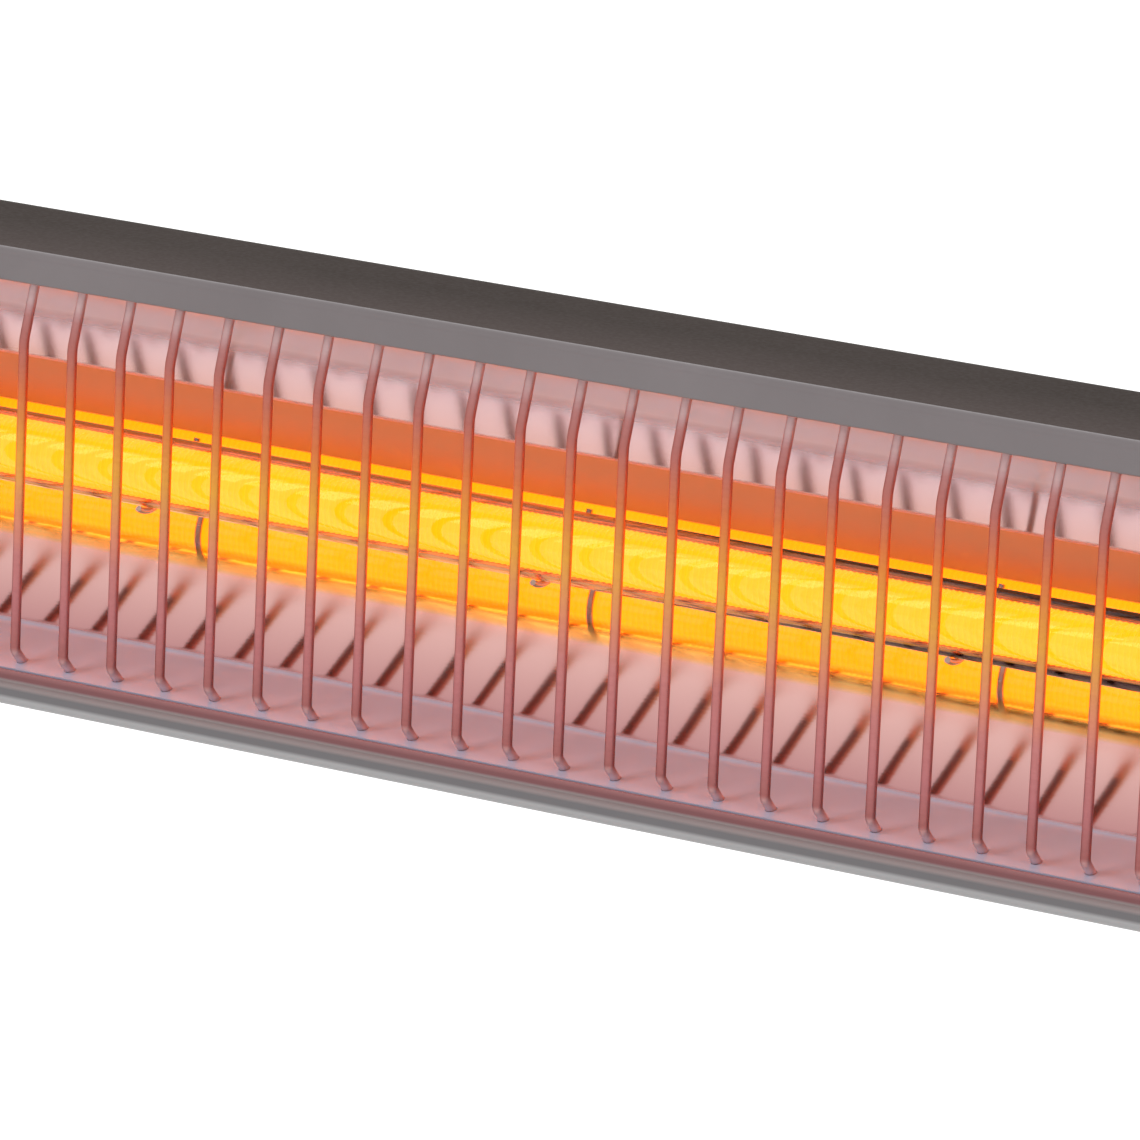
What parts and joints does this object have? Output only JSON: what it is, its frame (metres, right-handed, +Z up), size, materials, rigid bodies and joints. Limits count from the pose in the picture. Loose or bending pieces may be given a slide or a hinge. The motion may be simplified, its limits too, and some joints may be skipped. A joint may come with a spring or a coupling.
{
  "type": "electric bar heater",
  "caption": "Long wall heater with a glowing quartz tube in a polished trough behind upright guard wires, on a tilting bracket with locking knobs.",
  "frame": {"origin": "on the wall face, in the middle of the wall bracket's four screw holes, level with the tilt axis", "axes": "+X along the heater to its right-hand end as seen from the room, +Y into the wall, +Z up"},
  "size_m": [0.8, 0.142, 0.114],
  "materials": {
    "housing_paint": "dark brown-grey satin paint on extruded aluminium",
    "cap_paint": "dark brown-grey satin paint on die-cast aluminium",
    "rail_metal": "grey satin metallic paint",
    "wire_chrome": "plated wire, tinted rose by heat",
    "reflector_sheet": "polished sheet, tinted orange by heat behind the tube",
    "sheet_steel": "galvanised sheet",
    "quartz": "clear quartz tube",
    "glowing_winding": "resistance winding at full glow",
    "hook_steel": "heat-blued spring steel",
    "ceramic_end": "matt white ceramic",
    "plated_steel": "zinc plated",
    "seal_rubber": "black silicone rubber",
    "brown_lead": "brown insulation",
    "blue_lead": "blue insulation",
    "green_lead": "green and yellow insulation",
    "brass_screw": "bare brass",
    "black_plastic": "black moulded nylon",
    "knob_plastic": "black moulded plastic, fine grain",
    "bracket_paint": "dark grey powder coat on bent steel"
  },
  "bodies": {
    "wall_mount": {"wall_bracket": "bracket_paint"},
    "heater": {"housing": "housing_paint", "upper_rail": "rail_metal", "lower_rail": "rail_metal", "guard_wires": "wire_chrome", "reflector": "reflector_sheet", "heat_shield": "sheet_steel", "quartz_tube": "quartz", "heating_coil": "glowing_winding", "tube_hooks": "hook_steel", "left_ceramic": "ceramic_end", "right_ceramic": "ceramic_end", "left_pin": "plated_steel", "right_pin": "plated_steel", "left_holder": "sheet_steel", "right_holder": "sheet_steel", "holder_screws": "plated_steel", "left_end_plate": "sheet_steel", "right_end_plate": "sheet_steel", "left_front_panel": "housing_paint", "right_front_panel": "housing_paint", "left_gasket": "seal_rubber", "right_gasket": "seal_rubber", "left_end_cap": "cap_paint", "right_end_cap": "cap_paint", "left_cap_screws": "plated_steel", "right_cap_screws": "plated_steel", "terminal_block": "ceramic_end", "terminal_screws": "plated_steel", "live_lead": "brown_lead", "neutral_lead": "blue_lead", "earth_lead": "green_lead", "earth_screw": "brass_screw", "lead_bushes": "black_plastic", "cable_gland": "black_plastic", "gland_nut": "black_plastic", "body_bracket": "bracket_paint", "bracket_bolts": "plated_steel", "rivet_nuts": "plated_steel", "pivot_bolts": "plated_steel", "pivot_nuts": "plated_steel", "friction_washers": "black_plastic"},
    "left_lock": {"left_knob": "knob_plastic", "left_knob_stud": "plated_steel", "left_knob_washer": "plated_steel"},
    "right_lock": {"right_knob": "knob_plastic", "right_knob_stud": "plated_steel", "right_knob_washer": "plated_steel"}
  },
  "joints": [
    {"name": "tilt", "type": "hinge", "parent": "wall_mount", "child": "heater", "pos_m": [0, -0.05, 0], "axis": [1, 0, 0], "range_deg": [-15, 45]},
    {"name": "left_lock_turn", "type": "hinge", "parent": "heater", "child": "left_lock", "pos_m": [-0.078, -0.026, 0], "axis": [1, 0, 0], "continuous": true},
    {"name": "right_lock_turn", "type": "hinge", "parent": "heater", "child": "right_lock", "pos_m": [0.078, -0.026, 0], "axis": [1, 0, 0], "continuous": true}
  ]
}
